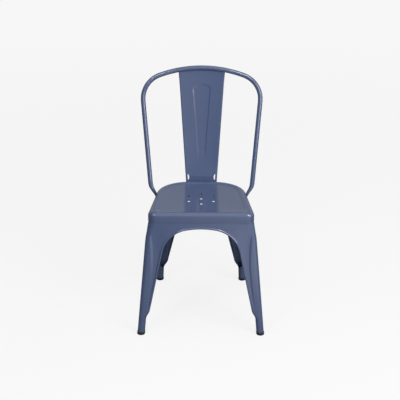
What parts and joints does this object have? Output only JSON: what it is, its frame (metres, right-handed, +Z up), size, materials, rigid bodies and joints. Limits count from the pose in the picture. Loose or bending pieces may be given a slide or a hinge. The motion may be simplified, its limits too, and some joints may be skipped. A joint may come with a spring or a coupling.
{
  "type": "stacking bistro chair",
  "caption": "Stackable bistro chair in painted pressed sheet steel: dished seat pan with drain holes, splayed corner legs, bent tube back with flat splat, rubber feet.",
  "frame": {"origin": "on the floor, under the middle of the chair's overall width and depth", "axes": "+Z up; +X to the right as the picture shows the chair from the front; -Y is the front of the seat, +Y is the back"},
  "size_m": [0.4466, 0.4804, 0.85],
  "materials": {
    "paint": "glossy powder coat",
    "rubber": "satin"
  },
  "bodies": {
    "root": {"seat_pan": "paint", "leg_front_right": "paint", "leg_front_left": "paint", "leg_rear_right": "paint", "leg_rear_left": "paint", "back_hoop": "paint", "hoop_weld_right": "paint", "hoop_weld_left": "paint", "back_splat": "paint", "splat_top_weld": "paint", "splat_foot_weld": "paint", "brace_strip_upper": "paint", "brace_strip_lower": "paint", "brace_rivet": "paint", "brace_end_weld": "paint", "foot_cap_front_right": "rubber", "foot_cap_front_left": "rubber", "foot_cap_rear_right": "rubber", "foot_cap_rear_left": "rubber", "stacking_pad_front_left": "rubber", "stacking_pad_front_right": "rubber", "stacking_pad_rear_left": "rubber", "stacking_pad_rear_right": "rubber"}
  },
  "joints": []
}
